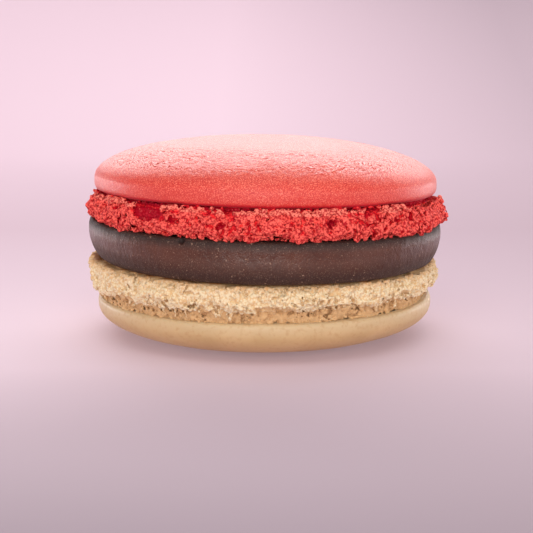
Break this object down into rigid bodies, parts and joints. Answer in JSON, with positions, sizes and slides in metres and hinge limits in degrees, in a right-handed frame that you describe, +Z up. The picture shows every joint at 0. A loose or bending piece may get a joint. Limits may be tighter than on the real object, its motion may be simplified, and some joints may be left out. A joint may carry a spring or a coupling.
{
  "type": "french macaron",
  "caption": "Round filled almond meringue biscuit: smooth red upper shell, chocolate ganache layer and pale beige lower shell, both shells with a craggy foot.",
  "frame": {"origin": "middle of the flat spot that the biscuit rests on, at the centre of its outline seen from above", "axes": "+Z up through the layers, -Y towards the shown front, +X to the right seen from the front"},
  "size_m": [0.0456, 0.0459, 0.0248],
  "materials": {
    "red_shell": null,
    "ganache": null,
    "beige_shell": null
  },
  "bodies": {
    "root": {"top_shell": "red_shell", "ganache": "ganache", "bottom_shell": "beige_shell"}
  },
  "joints": []
}
